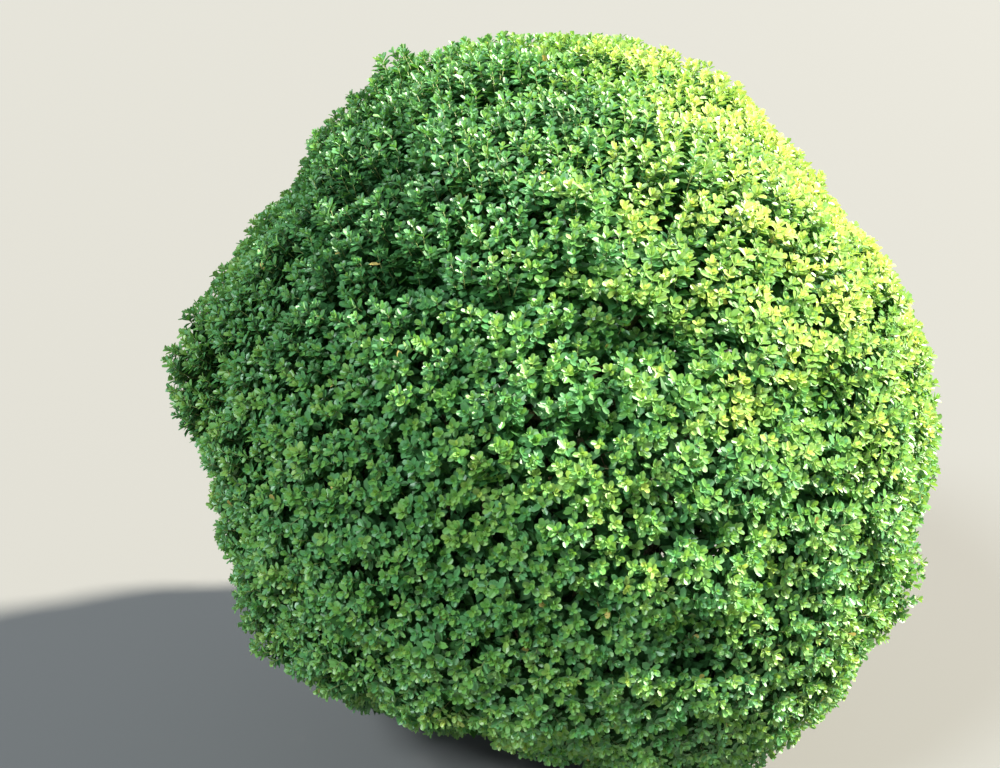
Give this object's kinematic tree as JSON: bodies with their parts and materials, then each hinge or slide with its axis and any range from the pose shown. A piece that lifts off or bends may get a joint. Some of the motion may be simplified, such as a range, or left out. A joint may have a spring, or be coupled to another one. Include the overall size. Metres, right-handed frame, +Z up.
{
  "type": "box topiary ball",
  "caption": "Clipped box bush, a leafy ball rooted in the ground on a short trunk that forks into boughs inside the crown.",
  "frame": {"origin": "centre of the flat cut under the trunk, at ground level", "axes": "+Z up, -Y towards the crown's front as pictured, +X to the right of that view"},
  "size_m": [1.2012, 1.1907, 1.1985],
  "materials": {
    "bark": "rough grey-brown bark, corky and finely cracked",
    "foliage": "small glossy evergreen leaves, deep green inside the crown and yellow-green at the fresh tips"
  },
  "bodies": {
    "root": {"trunk": "bark", "bough_1": "bark", "bough_2": "bark", "bough_3": "bark", "bough_4": "bark", "bough_5": "bark", "crown": "foliage"}
  },
  "joints": []
}
